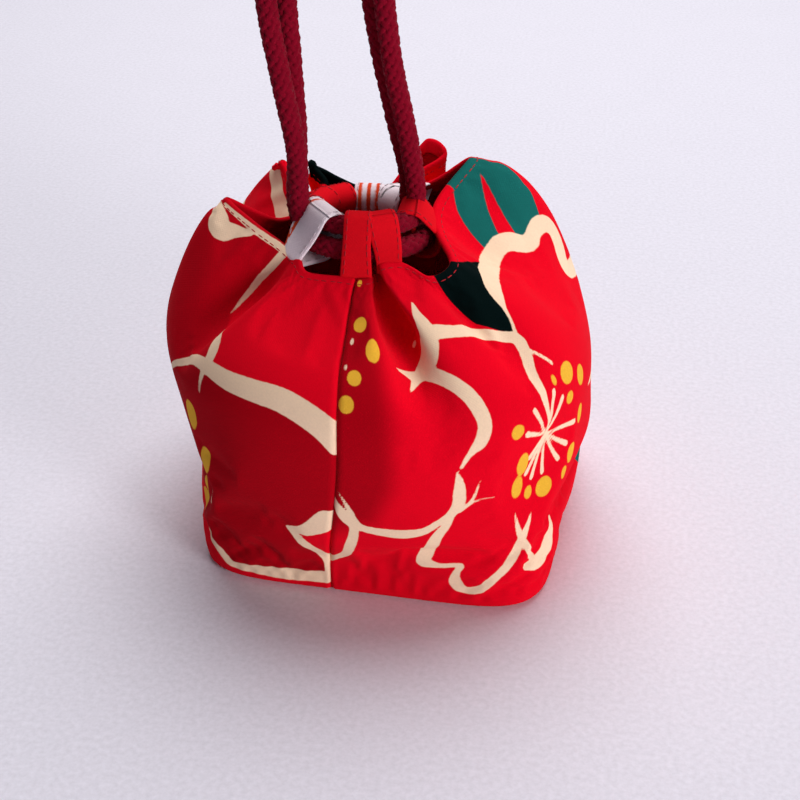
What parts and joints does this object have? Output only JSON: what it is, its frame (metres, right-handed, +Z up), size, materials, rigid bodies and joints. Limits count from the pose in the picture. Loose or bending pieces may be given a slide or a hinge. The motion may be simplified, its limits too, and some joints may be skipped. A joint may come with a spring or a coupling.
{
  "type": "drawstring pouch",
  "caption": "Lined cloth pouch with a flat boxed base and a rim gathered by cloth loops on two braided drawcords, standing open at a small mouth.",
  "frame": {"origin": "middle of the flat base, on the surface that the pouch stands on", "axes": "+Z up from the base, -Y towards the front seam, +X to the right as seen from the front"},
  "size_m": [0.122, 0.119, 0.1973],
  "materials": {
    "outer_cloth": "matte red woven cloth with a cream blossom print",
    "lining_cloth": "plain red woven cloth",
    "red_strip": "red topstitched cloth strip",
    "pale_strip": "off-white topstitched cloth strip",
    "cord": "burgundy braided cord"
  },
  "bodies": {
    "root": {"outer_left_panel": "outer_cloth", "outer_right_panel": "outer_cloth", "outer_base": "outer_cloth", "lining_left_panel": "lining_cloth", "lining_right_panel": "lining_cloth", "lining_base": "lining_cloth", "front_left_loop": "red_strip", "front_right_loop": "red_strip", "right_front_loop": "red_strip", "right_back_loop": "pale_strip", "back_right_loop": "pale_strip", "back_left_loop": "red_strip", "left_back_loop": "red_strip", "left_front_loop": "pale_strip", "left_cord": "cord", "right_cord": "cord", "left_knot": "cord", "right_knot": "cord"}
  },
  "joints": []
}
